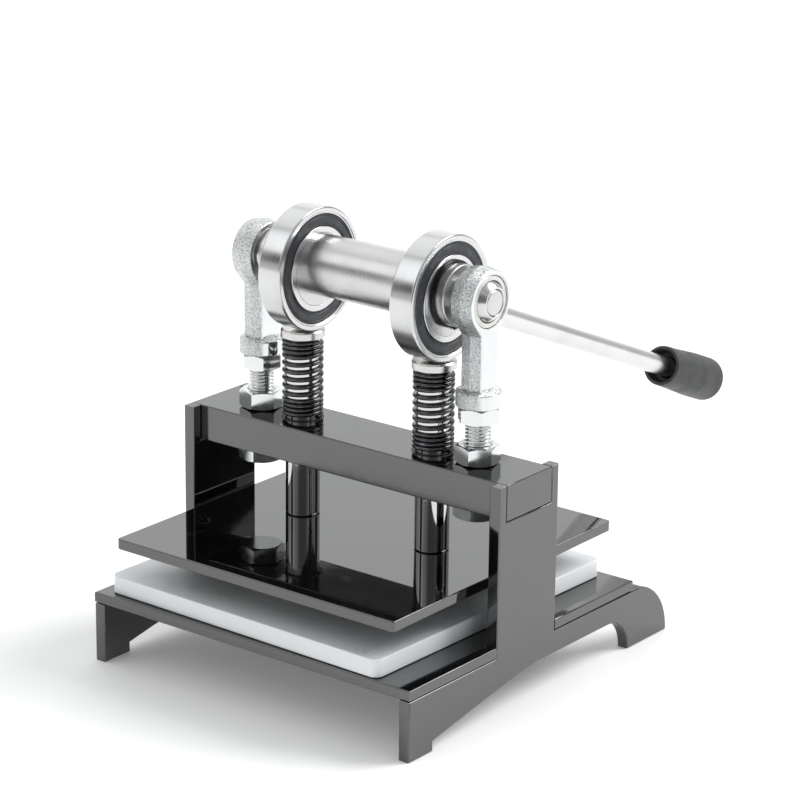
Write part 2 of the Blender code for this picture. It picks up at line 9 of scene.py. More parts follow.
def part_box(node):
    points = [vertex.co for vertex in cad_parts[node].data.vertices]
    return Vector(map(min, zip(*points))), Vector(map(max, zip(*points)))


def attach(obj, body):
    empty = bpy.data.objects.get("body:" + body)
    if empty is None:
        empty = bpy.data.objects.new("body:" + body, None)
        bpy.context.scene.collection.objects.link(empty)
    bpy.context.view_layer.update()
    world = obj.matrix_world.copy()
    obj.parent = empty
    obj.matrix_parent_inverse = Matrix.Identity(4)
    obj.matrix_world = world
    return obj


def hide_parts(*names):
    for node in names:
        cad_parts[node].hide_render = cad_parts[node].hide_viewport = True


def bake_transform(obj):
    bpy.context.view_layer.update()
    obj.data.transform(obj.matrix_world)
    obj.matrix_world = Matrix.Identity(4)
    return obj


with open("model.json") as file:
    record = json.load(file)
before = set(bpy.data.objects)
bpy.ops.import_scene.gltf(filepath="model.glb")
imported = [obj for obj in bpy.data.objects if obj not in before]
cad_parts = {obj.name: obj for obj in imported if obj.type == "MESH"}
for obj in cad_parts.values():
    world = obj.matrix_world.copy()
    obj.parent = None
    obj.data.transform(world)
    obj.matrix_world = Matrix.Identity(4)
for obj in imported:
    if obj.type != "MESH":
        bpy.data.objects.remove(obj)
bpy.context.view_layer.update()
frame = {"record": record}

MM = 0.001
SIDES = {"left": -1, "right": 1}
FINE = 96                     # facets round a turned piece
EXTRA_FINE = 128              # facets round the shaft, the bearings and the rod ends' eyes
SMOOTH = 35                   # degrees; sharper corners keep a crisp edge
GAP = 0.3 * MM                # left between pieces that touch
PAST = 1 * MM                 # how far a cutter reaches out of the piece it cuts

# The machine's zero: on the floor, below the middle of the eccentric shaft's axis.
JOINTS = {joint["name"]: joint for joint in frame["record"]["behaviour"]["joints"]}
SHAFT = Vector(JOINTS["crank_turn"]["pos_m"])
ZERO = Vector((SHAFT.x, SHAFT.y, 0))
BEARING = {side: Vector(JOINTS[f"bearing_spin_{side}"]["pos_m"]) for side in SIDES}


def size(node):
    low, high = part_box(node)
    return high - low


def middle(node):
    low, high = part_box(node)
    return (low + high) / 2


# Mesh helpers -----------------------------------------------------------------------------------

def fillet(points, closed=False, steps=3):
    """Rounds the corners of a profile. A point is (r, z) or (r, z, radius of its corner)."""
    result = []
    count = len(points)
    for i, point in enumerate(points):
        radius = point[2] if len(point) > 2 else 0
        here = Vector(point[:2])
        if radius == 0 or (not closed and i in (0, count - 1)):
            result.append(tuple(here))
            continue
        back = Vector(points[i - 1][:2]) - here
        ahead = Vector(points[(i + 1) % count][:2]) - here
        angle = back.angle(ahead)
        reach = min(radius / max(0.05, abs(sin(angle / 2) / cos(angle / 2))),
                    0.48 * back.length, 0.48 * ahead.length)
        start = here + back.normalized() * reach
        end = here + ahead.normalized() * reach
        for k in range(steps + 1):
            t = k / steps
            result.append(tuple(start * (1 - t) ** 2 + here * 2 * t * (1 - t) + end * t * t))
    return result


def turned(rings, segments=FINE, closed=False, phase=0.0):
    """A solid of rings about Z. A ring is (radius, height); either may depend on the angle."""
    bm = bmesh.new()
    loops = []
    for radius, height in rings:
        if radius == 0:
            loops.append([bm.verts.new((0, 0, height))])
            continue
        loop = []
        for i in range(segments):
            a = 2 * pi * i / segments
            r = radius(a) if callable(radius) else radius
            z = height(a) if callable(height) else height
            loop.append(bm.verts.new((r * cos(a + phase), r * sin(a + phase), z)))
        loops.append(loop)
    pairs = list(zip(loops, loops[1:]))
    if closed:
        pairs.append((loops[-1], loops[0]))
    for low, high in pairs:
        for i in range(segments):
            j = (i + 1) % segments
            corners = [low[i % len(low)], low[j % len(low)], high[j % len(high)], high[i % len(high)]]
            bm.faces.new(list(dict.fromkeys(corners)))
    return bm


def arc(centre, radius, start, end, steps):
    step = (end - start) / steps
    return [(centre[0] + radius * cos(start + step * i), centre[1] + radius * sin(start + step * i))
            for i in range(steps + 1)]


def rounded_rectangle(width, depth, radius, steps):
    points = []
    for quarter, (sx, sy) in enumerate(((1, 1), (-1, 1), (-1, -1), (1, -1))):
        centre = (sx * (width / 2 - radius), sy * (depth / 2 - radius))
        points += arc(centre, radius, quarter * pi / 2, (quarter + 1) * pi / 2, steps)
    return points


def slab(outline, thickness, edge=0.0, steps=3):
    """An outline in XY, extruded up from Z = 0, with both rims rounded."""
    bm = bmesh.new()
    face = bm.faces.new([bm.verts.new((x, y, 0)) for x, y in outline])
    raised = bmesh.ops.extrude_face_region(bm, geom=[face])["geom"]
    bmesh.ops.translate(bm, verts=[v for v in raised if isinstance(v, bmesh.types.BMVert)],
                        vec=(0, 0, thickness))
    if edge:
        rims = [e for e in bm.edges if abs(e.verts[0].co.z - e.verts[1].co.z) < thickness / 2]
        bmesh.ops.bevel(bm, geom=rims, offset=edge, segments=steps, affect="EDGES", profile=0.5,
                        clamp_overlap=True)
    return bm


def make(name, bm, material, location=(0, 0, 0), rotation=None, smooth=SMOOTH):
    """Turns a bmesh into an object that stands at a place in the frame."""
    bmesh.ops.recalc_face_normals(bm, faces=bm.faces)
    mesh = bpy.data.meshes.new(name)
    bm.to_mesh(mesh)
    bm.free()
    mesh.shade_smooth()
    mesh.set_sharp_from_angle(angle=radians(smooth))
    if material:
        mesh.materials.append(material)
    obj = bpy.data.objects.new(name, mesh)
    obj.matrix_world = Matrix.Translation(location) @ (rotation or Matrix.Identity(4))
    bpy.context.collection.objects.link(obj)
    return obj


def flatten_shading(obj):
    """Keeps the shading of large flat faces flat up to their rounded edges."""
    mod = obj.modifiers.new("flat_faces", "WEIGHTED_NORMAL")
    mod.keep_sharp = True
    mod.weight = 50


ALONG_X = Matrix.Rotation(pi / 2, 4, "Y")
STAND = Matrix(((0, 0, 1, 0), (1, 0, 0, 0), (0, 1, 0, 0), (0, 0, 0, 1)))    # XY outline to YZ


def bake_modifiers(obj, smooth):
    """Applies the object's modifiers to its mesh."""
    bpy.context.view_layer.update()
    depsgraph = bpy.context.evaluated_depsgraph_get()
    mesh = bpy.data.meshes.new_from_object(obj.evaluated_get(depsgraph))
    obj.modifiers.clear()
    obj.data = mesh
    mesh.shade_smooth()
    mesh.set_sharp_from_angle(angle=radians(smooth))


def combine(obj, tools, operation="DIFFERENCE", smooth=SMOOTH):
    """Cuts helper solids out of obj, or joins them to it, and removes the helpers."""
    for tool in tools:
        mod = obj.modifiers.new(operation.lower(), "BOOLEAN")
        mod.operation = operation
        mod.object = tool
        mod.solver = "EXACT"
    bake_modifiers(obj, smooth)
    for tool in tools:
        bpy.data.objects.remove(tool, do_unlink=True)


def done(obj, body, slot, *nodes):
    """The piece rides on a body and stands for CAD nodes; the slot argument is not used."""
    flatten_shading(obj)
    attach(obj, body)
    if nodes:
        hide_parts(*nodes)


# Materials --------------------------------------------------------------------------------------

class Finish:
    """A Principled material with a few helpers for the nodes that vary it over the surface."""

    AROUND = 0.0004           # metres per radian, so that lathe lines hardly change on their way round

    def __init__(self, name, colour, roughness, metallic=0.0, ior=1.5):
        self.mat = bpy.data.materials.new(name)
        self.mat.use_nodes = True
        self.tree = self.mat.node_tree
        self.shader = self.tree.nodes["Principled BSDF"]
        self.colour = colour
        self.set("Base Color", (*colour, 1))
        self.set("Roughness", roughness)
        self.set("Metallic", metallic)
        self.set("IOR", ior)
        self.place = self.node("ShaderNodeTexCoord").outputs["Object"]
        self.normal = None

    def set(self, socket, value):
        self.shader.inputs[socket].default_value = value

    def node(self, kind, **values):
        made = self.tree.nodes.new(kind)
        for key, value in values.items():
            setattr(made, key, value)
        return made

    def join(self, output, target):
        self.tree.links.new(output, target)

    def math(self, operation, a, b=0.0):
        made = self.node("ShaderNodeMath", operation=operation)
        for socket, value in zip(made.inputs, (a, b)):
            if isinstance(value, (int, float)):
                socket.default_value = value
            else:
                self.join(value, socket)
        return made.outputs[0]

    def noise(self, scale, detail=3.0, place=None, rough=0.55, stretch=None, distort=0.0):
        """Noise from 0 to 1. A large number in stretch makes fine lines across that axis."""
        place = place or self.place
        if stretch:
            mapping = self.node("ShaderNodeMapping")
            mapping.inputs["Scale"].default_value = stretch
            self.join(place, mapping.inputs["Vector"])
            place = mapping.outputs["Vector"]
        made = self.node("ShaderNodeTexNoise")
        made.inputs["Scale"].default_value = scale
        made.inputs["Detail"].default_value = detail
        made.inputs["Roughness"].default_value = rough
        made.inputs["Distortion"].default_value = distort
        self.join(place, made.inputs["Vector"])
        return made.outputs["Fac"]

    def cells(self, scale):
        """Distance to the nearest of a scatter of points, in cell widths."""
        made = self.node("ShaderNodeTexVoronoi")
        made.inputs["Scale"].default_value = scale
        self.join(self.place, made.inputs["Vector"])
        return made.outputs["Distance"]

    def ramp(self, value, low, high, out_low=0.0, out_high=1.0):
        """Turns value, between low and high, smoothly into out_low to out_high."""
        made = self.node("ShaderNodeMapRange", interpolation_type="SMOOTHSTEP")
        for socket, number in zip(list(made.inputs)[1:5], (low, high, out_low, out_high)):
            socket.default_value = number
        self.join(value, made.inputs["Value"])
        return made.outputs["Result"]

    def lathe_place(self):
        """Coordinates that stay the same round the piece's Z axis: radius and height."""
        apart = self.node("ShaderNodeSeparateXYZ")
        self.join(self.place, apart.inputs[0])
        x, y, z = apart.outputs
        radius = self.math("SQRT", self.math("ADD", self.math("MULTIPLY", x, x),
                                             self.math("MULTIPLY", y, y)))
        turn = self.math("MULTIPLY", self.math("ARCTAN2", y, x), self.AROUND)
        back = self.node("ShaderNodeCombineXYZ")
        for socket, value in zip(back.inputs, (radius, z, turn)):
            self.join(value, socket)
        return back.outputs[0]

    def vary_roughness(self, value, low, high):
        self.join(self.ramp(value, 0.25, 0.75, low, high), self.shader.inputs["Roughness"])

    def vary_colour(self, value, other, low=0.3, high=0.7, amount=1.0):
        """Blends the colour towards another where value is high. Further calls go on top."""
        mix = self.node("ShaderNodeMix", data_type="RGBA")
        self.join(self.ramp(value, low, high, 0.0, amount), mix.inputs["Factor"])
        under = self.shader.inputs["Base Color"]
        if under.is_linked:
            self.join(under.links[0].from_socket, mix.inputs["A"])
        else:
            mix.inputs["A"].default_value = (*self.colour, 1)
        mix.inputs["B"].default_value = (*other, 1)
        self.join(mix.outputs["Result"], under)

    def bump(self, height, distance, strength=1.0):
        made = self.node("ShaderNodeBump")
        made.inputs["Strength"].default_value = strength
        made.inputs["Distance"].default_value = distance
        self.join(height, made.inputs["Height"])
        if self.normal:
            self.join(self.normal, made.inputs["Normal"])
        self.normal = made.outputs["Normal"]
        self.join(self.normal, self.shader.inputs["Normal"])

    def facing(self, axis):
        """How far the surface faces along one of the piece's own axes, from 0 to 1."""
        coords = self.node("ShaderNodeTexCoord")
        apart = self.node("ShaderNodeSeparateXYZ")
        self.join(coords.outputs["Normal"], apart.inputs[0])
        return self.math("ABSOLUTE", apart.outputs[axis])

    def edges(self, radius):
        """1 on sharp edges, 0 on flat faces."""
        soft = self.node("ShaderNodeBevel", samples=4)
        soft.inputs["Radius"].default_value = radius
        hard = self.node("ShaderNodeNewGeometry")
        dot = self.node("ShaderNodeVectorMath", operation="DOT_PRODUCT")
        self.join(soft.outputs[0], dot.inputs[0])
        self.join(hard.outputs["Normal"], dot.inputs[1])
        return self.ramp(dot.outputs["Value"], 0.985, 0.9)


BLACK = (0.0025, 0.0027, 0.0032)
LACQUER_IOR = 2.1
STEEL_IOR = 2.5


def black_steel(name="black_steel", roughness=(0.05, 0.11)):
    """Glossy black coated plate, a little uneven, lighter in patches along its edges: partly wear,
    partly a painted highlight.
    """
    finish = Finish(name, BLACK, roughness[0], ior=LACQUER_IOR)
    finish.vary_roughness(finish.noise(22, 4), *roughness)
    finish.vary_colour(finish.noise(60, 5), (0.006, 0.0065, 0.008), 0.45, 0.75)
    # Lighter patches along the edges: partly wear, partly a painted highlight.
    edge_wear_and_highlight = finish.math("MULTIPLY", finish.edges(0.6 * MM), finish.noise(240, 4))
    finish.vary_colour(edge_wear_and_highlight, (0.22, 0.22, 0.23), 0.2, 0.6, 0.5)
    finish.bump(finish.noise(300, 2), 0.006 * MM, 0.4)
    return finish


def beam_steel():
    """The beam's coating has faint pits, mostly on its lower half."""
    finish = black_steel("beam_steel", (0.07, 0.14))
    patches = finish.ramp(finish.noise(34, 2), 0.5, 0.8)
    apart = finish.node("ShaderNodeSeparateXYZ")
    finish.join(finish.place, apart.inputs[0])
    beam_h = size("top_beam").z
    low_half = finish.ramp(apart.outputs["Z"], beam_h * 0.75, beam_h * 0.1)
    dots = finish.ramp(finish.cells(1300), 0.24, 0.08)
    pits = finish.math("MULTIPLY", finish.math("MULTIPLY", patches, low_half), dots)
    finish.vary_colour(pits, (0.002, 0.002, 0.002), 0.1, 0.8)
    finish.bump(pits, -0.12 * MM, 0.9)
    return finish


def press_black():
    """Mirror-bright black on the press plate, with faint wiping marks and a few smudges."""
    finish = Finish("press_black", BLACK, 0.05, ior=LACQUER_IOR)
    smudge = finish.ramp(finish.noise(38, 5, distort=0.6), 0.6, 0.72)
    wiping = finish.noise(30, 4, stretch=(1, 6, 1))
    finish.vary_roughness(finish.math("ADD", finish.math("MULTIPLY", wiping, 0.5),
                                      finish.math("MULTIPLY", smudge, 0.5)), 0.02, 0.1)
    finish.vary_colour(smudge, (0.008, 0.0085, 0.01), 0.2, 0.9)
    # Lighter patches along the edges: partly wear, partly a painted highlight.
    edge_wear_and_highlight = finish.math("MULTIPLY", finish.edges(0.5 * MM), finish.noise(300, 4))
    finish.vary_colour(edge_wear_and_highlight, (0.25, 0.25, 0.26), 0.2, 0.6, 0.6)
    finish.bump(finish.noise(240, 2), 0.004 * MM, 0.4)
    return finish


def turned_metal(name, colour, roughness, lines, reflection_tint=None):
    """Bright metal with fine lines round it from the lathe or the grinder."""
    finish = Finish(name, colour, roughness[0], metallic=1.0, ior=STEEL_IOR)
    place = finish.lathe_place()
    fine = finish.noise(1, 2, place, stretch=(5200, 5200, 900))
    finish.vary_roughness(finish.math("ADD", finish.math("MULTIPLY", fine, 0.45),
                                      finish.math("MULTIPLY", finish.noise(70, 4), 0.55)), *roughness)
    # Patches of a darker tone of the same metal; where a colour is given, as on the caps, the patches
    # are a brownish painted reflection.
    shade = reflection_tint or tuple(c * 0.8 for c in colour)
    finish.vary_colour(finish.noise(45, 3), shade, 0.42, 0.7, 0.35)
    finish.bump(fine, lines * MM, 0.6)
    return finish


def spring_steel():
    """Dark blued wire with lighter rubbed spots."""
    finish = Finish("spring_steel", (0.075, 0.076, 0.08), 0.1, 1.0)
    finish.vary_roughness(finish.noise(160, 4), 0.07, 0.2)
    finish.vary_colour(finish.noise(220, 4), (0.16, 0.16, 0.165), 0.5, 0.75)
    finish.bump(finish.noise(900, 3), 0.01 * MM, 0.5)
    return finish


def zinc(name="zinc_plate", forged=False):
    """Bright zinc. A forged piece is grainy, but not on the flanks across its own Z axis."""
    finish = Finish(name, (0.7, 0.72, 0.715), 0.2, 1.0)
    finish.vary_roughness(finish.noise(130, 4), 0.1, 0.2)
    finish.vary_colour(finish.noise(90, 3), (0.66, 0.69, 0.7), 0.4, 0.7, 0.7)
    finish.vary_colour(finish.noise(28, 3), (0.75, 0.75, 0.7), 0.55, 0.75, 0.4)
    finish.bump(finish.noise(700, 2), 0.006 * MM, 0.5)
    if forged:
        rough_side = finish.ramp(finish.facing("Z"), 0.8, 0.5)
        grain = finish.math("MULTIPLY", finish.noise(900, 4, rough=0.7), rough_side)
        finish.vary_colour(grain, (0.38, 0.4, 0.41), 0.46, 0.6, 0.8)
        finish.bump(grain, 0.7 * MM, 1.0)
    return finish


def bronze(name, colour, worn):
    """Plain bearing bronze, worn in patches."""
    finish = Finish(name, colour, 0.3, 1.0)
    finish.vary_roughness(finish.noise(160, 3), 0.22, 0.42)
    finish.vary_colour(finish.noise(120, 4), worn, 0.4, 0.75)
    finish.bump(finish.noise(800, 3), 0.012 * MM, 0.5)
    return finish


def seal_rubber():
    """Moulded rubber seals with a slight blue-grey bloom."""
    finish = Finish("seal_rubber", (0.022, 0.025, 0.031), 0.4)
    finish.vary_roughness(finish.noise(180, 4), 0.32, 0.5)
    finish.vary_colour(finish.noise(110, 4), (0.045, 0.05, 0.06), 0.45, 0.8)
    finish.bump(finish.noise(1600, 3), 0.02 * MM, 0.5)
    return finish


def board_plastic():
    """Milky white polyethylene, finely scratched where it was cut on."""
    finish = Finish("white_board", (0.86, 0.885, 0.9), 0.34)
    finish.set("Subsurface Weight", 0.25)
    finish.set("Subsurface Radius", (0.004, 0.004, 0.0045))
    finish.set("Subsurface Scale", 1.0)
    finish.vary_roughness(finish.noise(60, 5), 0.26, 0.46)
    finish.vary_colour(finish.noise(16, 3), (0.78, 0.83, 0.87), 0.4, 0.7, 0.7)
    scratch = finish.ramp(finish.noise(1, 2, stretch=(30, 900, 30), distort=0.4), 0.68, 0.8)
    finish.bump(scratch, -0.03 * MM, 0.5)
    finish.bump(finish.noise(420, 3), 0.02 * MM, 0.4)
    return finish


def grip_rubber():
    """Matt black rubber, a little dusty."""
    finish = Finish("grip_rubber", (0.034, 0.035, 0.036), 0.5)
    finish.vary_roughness(finish.noise(90, 4), 0.42, 0.6)
    finish.vary_colour(finish.noise(60, 4), (0.05, 0.052, 0.053), 0.4, 0.8)
    finish.bump(finish.noise(1300, 3), 0.035 * MM, 0.6)
    return finish


FINISHES = {
    "black_steel": black_steel(),
    "beam_steel": beam_steel(),
    "press_black": press_black(),
    "polished_steel": turned_metal("polished_steel", (0.60, 0.60, 0.605), (0.05, 0.1), 0.002),
    "shaft_steel": turned_metal("shaft_steel", (0.60, 0.60, 0.595), (0.25, 0.34), 0.006),
    # The caps' brownish patches are a painted reflection.
    "turned_steel": turned_metal("turned_steel", (0.60, 0.595, 0.58), (0.16, 0.3), 0.008,
                                 reflection_tint=(0.46, 0.42, 0.34)),
    "handle_steel": turned_metal("handle_steel", (0.7, 0.7, 0.695), (0.2, 0.28), 0.003),
    "bearing_steel": turned_metal("bearing_steel", (0.63, 0.63, 0.635), (0.17, 0.26), 0.003),
    "spring_steel": spring_steel(),
    "zinc_plate": zinc(),
    "zinc_cast": zinc("zinc_cast", forged=True),
    "bronze": bronze("bronze", (0.66, 0.645, 0.61), (0.58, 0.56, 0.52)),
    "oiled_bronze": bronze("oiled_bronze", (0.04, 0.036, 0.031), (0.03, 0.028, 0.025)),
    "seal_rubber": seal_rubber(),
    "white_board": board_plastic(),
    "grip_rubber": grip_rubber(),
    "retaining_black": turned_metal("retaining_black", (0.03, 0.03, 0.032), (0.25, 0.4), 0.01),
}


def finish(name):
    """The Blender material of a named finish."""
    return FINISHES[name].mat


# Frame ------------------------------------------------------------------------------------------

EDGE = 0.7 * MM
FOOT_L = 20 * MM
FOOT_STEP = 5.5 * MM
ARCH_H = 20.2 * MM
ARCH_KNEE_Y = 8 * MM          # behind the shaft, where the arch's slope ends
ARCH_BOW = 0.5 * MM
UPRIGHT_HALF = 26 * MM
BUSH_FIT = 0.2 * MM
BOLT_R = 7 * MM
BOLT_HOLE_R = 7.3 * MM
BOARD_TURN = radians(-1.2)    # the board lies a little askew
CORNER_SLACK = 0.08 * MM      # what the board's rounded corners leave free in its box
HEEL_CENTRE_Y = 101 * MM
HEEL_INNER_Y = 77 * MM


def side_outline():
    """A side plate in the (Y, Z) plane, from the shaft's plane."""
    low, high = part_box("side_plate_right")
    front = low.y - ZERO.y
    back = high.y - ZERO.y
    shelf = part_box("base_plate")[0].z - GAP
    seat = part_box("top_beam")[0].z - GAP
    inner = size("top_beam").y / 2 + GAP
    outer = UPRIGHT_HALF
    toe = front + FOOT_L
    heel_r = back - HEEL_CENTRE_Y
    points = [(front, 0), (toe, 0)]
    steps = 8
    for i in range(steps + 1):
        t = i / steps
        bow = 4 * ARCH_BOW * t * (1 - t)
        points.append((toe + (ARCH_KNEE_Y - toe) * t, FOOT_STEP + (ARCH_H - FOOT_STEP) * t + bow))
    points += arc((HEEL_INNER_Y, 0), ARCH_H, pi / 2, 0, 20)
    points += arc((HEEL_CENTRE_Y, 0), heel_r, 0, pi / 2 - acos(shelf / heel_r), 32)
    points += [(outer, shelf), (outer, high.z), (inner, high.z), (inner, seat)]
    points += [(-inner, seat), (-inner, high.z), (-outer, high.z), (-outer, shelf)]
    points += [(front, shelf)]
    return points


def build_side_plates():
    for side in SIDES:
        node = f"side_plate_{side}"
        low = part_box(node)[0]
        bm = slab(side_outline(), size(node).x, EDGE)
        obj = make(f"side_{side}", bm, finish("black_steel"), (low.x, ZERO.y, 0), STAND)
        done(obj, "frame", "black_steel", node)


def build_base_plate():
    """A rectangle with a notch on each side for the uprights."""
    low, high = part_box("base_plate")
    x = high.x
    y = high.y - ZERO.y
    notch_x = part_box("side_plate_right")[0].x - GAP
    notch_y = UPRIGHT_HALF + GAP
    right = [(x, -y), (x, -notch_y), (notch_x, -notch_y), (notch_x, notch_y), (x, notch_y), (x, y)]
    left = [(-px, -py) for px, py in right]
    obj = make("base", slab(right + left, high.z - low.z, EDGE), finish("black_steel"),
               (0, ZERO.y, low.z))
    done(obj, "frame", "black_steel", "base_plate")


def hole(x, radius, low, high):
    """An upright cutter in the shaft's plane."""
    bm = turned([(0, low), (radius, low), (radius, high), (0, high)], segments=64)
    return make("tool", bm, None, (x, ZERO.y, 0))


def build_beam():
    low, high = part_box("top_beam")
    half = (high - low) / 2
    outline = [(-half.x, -half.y), (half.x, -half.y), (half.x, half.y), (-half.x, half.y)]
    bm = slab(outline, 2 * half.z, EDGE)
    uprights = [e for e in bm.edges if abs(e.verts[0].co.z - e.verts[1].co.z) > half.z]
    bmesh.ops.bevel(bm, geom=uprights, offset=0.5 * MM, segments=2, affect="EDGES", profile=0.5)
    beam = make("beam", bm, finish("beam_steel"), (0, ZERO.y, low.z))
    tools = []
    for side in SIDES:
        bush = f"guide_bush_{side}"
        bolt = f"rod_bolt_{side}"
        for node, radius in ((bush, size(bush).x / 2 + BUSH_FIT), (bolt, BOLT_HOLE_R)):
            tools.append(hole(middle(node).x, radius, low.z - PAST, high.z + PAST))
    combine(beam, tools)
    done(beam, "frame", "black_steel", "top_beam")


def build_bushes():
    for side in SIDES:
        node = f"guide_bush_{side}"
        low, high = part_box(node)
        inner = size(f"pillar_{side}").x / 2 + GAP
        outer = (high.x - low.x) / 2
        half = (high.z - low.z) / 2
        edge = 0.5 * MM
        profile = [(inner, -half, edge), (outer, -half, edge),
                   (outer, half, edge), (inner, half, edge)]
        obj = make(f"bush_{side}", turned(fillet(profile, True), closed=True), finish("oiled_bronze"),
                   middle(node))
        done(obj, "frame", "bronze", node)


def build_board():
    node = "cutting_board"
    low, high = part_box(node)
    span = high - low
    lean = abs(sin(BOARD_TURN))
    width = (span.x - span.y * lean) / (1 - lean * lean) + CORNER_SLACK
    depth = (span.y - span.x * lean) / (1 - lean * lean) + CORNER_SLACK
    outline = rounded_rectangle(width, depth, radius=5 * MM, steps=8)
    obj = make("board", slab(outline, span.z, edge=0.5 * MM), finish("white_board"),
               (middle(node).x, middle(node).y, low.z), Matrix.Rotation(BOARD_TURN, 4, "Z"))
    done(obj, "board", "white_board", node)


# Bolts, nuts and rod ends -----------------------------------------------------------------------

CHAMFER = radians(30)         # of the corners of nuts and bolt heads
FACE_SHARE = 0.955            # the flat face inside the chamfer, as a share of the flats
NUT_TURN = {"beam_nut": 13, "jam_nut": 45, "rod_bolt": 19}      # degrees


def hexagon(across_flats):
    """The radius of a hexagon's outline, as a function of the angle."""
    def radius(angle):
        return across_flats / 2 / cos((angle + pi / 6) % (pi / 3) - pi / 6)
    return radius


def hexagon_rings(across_flats, low, high):
    """Rings for a hexagon with chamfered corners at both ends."""
    face_r = across_flats / 2 * FACE_SHARE
    outline = hexagon(across_flats)

    def drop(angle):
        return (outline(angle) - face_r) * sin(CHAMFER)
    return [(face_r, low), (outline, lambda a: low + drop(a)),
            (outline, lambda a: high - drop(a)), (face_r, high)]


def thread(radius, depth, pitch, low, high):
    """A helical thread about Z, built along the helix, so that the rows follow it."""
    around = 40
    shape = [0, 0.12, 0.62, 1, 1, 0.88, 0.38, 0]        # depth over one pitch, crest to crest
    per_pitch = len(shape)
    rows = int((high - low) / pitch * per_pitch)
    bm = bmesh.new()
    grid = []
    for k in range(rows + per_pitch + 1):
        row = []
        for i in range(around):
            a = 2 * pi * i / around
            z = low + pitch * (k / per_pitch - 1) + pitch * i / around
            r = radius - depth * shape[k % per_pitch]
            z = min(max(z, low), high)
            row.append(bm.verts.new((r * cos(a), r * sin(a), z)))
        grid.append(row)
    for k in range(rows):
        for i in range(around):
            j = (i + 1) % around
            step = per_pitch if j == 0 else 0
            if k + 1 + step >= len(grid):
                continue
            bm.faces.new((grid[k][i], grid[k + step][j], grid[k + 1 + step][j], grid[k + 1][i]))
    loose = [v for v in bm.verts if not v.link_faces]
    bmesh.ops.delete(bm, geom=loose, context="VERTS")
    bmesh.ops.holes_fill(bm, edges=[e for e in bm.edges if e.is_boundary], sides=0)
    bmesh.ops.triangulate(bm, faces=[f for f in bm.faces if len(f.verts) > 4])
    return bm


def flats(node):
    """Across-flats size of a hexagon from its box, whatever its turn."""
    phase = NUT_TURN[node.rsplit("_", 1)[0]]
    reach = max(abs(cos(radians(phase + 60 * i))) for i in range(6))
    return size(node).x / 2 / reach * cos(pi / 6) * 2


def build_bolt(side, low_end, nut_mid, jam_mid):
    """Head, plain shank through the beam, a core under the thread, and the end in the rod end."""
    node = f"rod_bolt_{side}"
    low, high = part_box(node)
    x = middle(node).x
    core = 5.6 * MM
    edge = 1 * MM
    end_r = BOLT_R - 1 * MM
    rings = [(0, low.z)] + hexagon_rings(flats(node), low.z, low_end)
    rings += [(BOLT_R, low_end), (BOLT_R, nut_mid - edge), (core, nut_mid), (core, jam_mid),
              (end_r, jam_mid + edge), (end_r, high.z - edge), (end_r - edge, high.z), (0, high.z)]
    obj = make(f"bolt_{side}", turned(rings, phase=radians(NUT_TURN["rod_bolt"])),
               finish("zinc_plate"), (x, ZERO.y, 0), smooth=25)
    done(obj, "frame", "zinc_plate", node)
    bm = thread(BOLT_R, depth=1.15 * MM, pitch=2 * MM, low=nut_mid, high=jam_mid)
    obj = make(f"bolt_thread_{side}", bm, finish("zinc_plate"), (x, ZERO.y, 0), smooth=50)
    done(obj, "frame", "zinc_plate")


def build_nut(kind, side, x):
    """A hexagon nut with a countersunk bore."""
    node = f"{kind}_{side}"
    low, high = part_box(node)
    bore_r = BOLT_R + 0.15 * MM
    dip = 0.9 * MM
    rings = [(bore_r, low.z + dip), (BOLT_R + dip, low.z)]
    rings += hexagon_rings(flats(node), low.z, high.z)
    rings += [(BOLT_R + dip, high.z), (bore_r, high.z - dip)]
    bm = turned(rings, closed=True, phase=radians(NUT_TURN[kind]))
    obj = make(f"{kind}_{side}_fine", bm, finish("zinc_plate"), (x, ZERO.y, 0), smooth=25)
    done(obj, "frame", "zinc_plate", node)


def build_bolts():
    under_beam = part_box("top_beam")[0].z - GAP
    for side in SIDES:
        build_bolt(side, under_beam, middle(f"beam_nut_{side}").z, middle(f"jam_nut_{side}").z)
        for kind in ("beam_nut", "jam_nut"):
            build_nut(kind, side, middle(f"rod_bolt_{side}").x)


EYE_FLANK = 6.75 * MM         # half the eye's thickness
NECK_FRONT = 8.5 * MM         # from the neck's middle to its parting ridge
# Where the ridge runs out into the eye: depth below the shaft's axis, distance from the middle.
NECK_SHOULDER = ((19.5 * MM, NECK_FRONT), (17.6 * MM, 9.0 * MM), (12.6 * MM, 13.0 * MM),
                 (9 * MM, 14.6 * MM))


def neck_loft(foot):
    """The forged neck, with a parting ridge down its front and back, widening up into the eye."""
    bm = bmesh.new()
    half_x = 6.6 * MM
    draft = 1.4 * MM
    nick = 0.5 * MM
    rings = []
    for z, y in [(foot, NECK_FRONT)] + [(SHAFT.z - depth, ridge) for depth, ridge in NECK_SHOULDER]:
        side = [(half_x, y - draft - nick), (half_x - nick, y - draft), (0, y),
                (nick - half_x, y - draft), (-half_x, y - draft - nick)]
        outline = side + [(-px, -py) for px, py in side]
        rings.append([bm.verts.new((px, py, z)) for px, py in outline])
    for near, far in zip(rings, rings[1:]):
        for i in range(len(near)):
            j = (i + 1) % len(near)
            bm.faces.new((near[i], near[j], far[j], far[i]))
    bm.faces.new(rings[0])
    bm.faces.new(rings[-1])
    return bm


def eye_centre(side):
    return Vector((middle(f"rod_end_housing_{side}").x, ZERO.y, SHAFT.z))


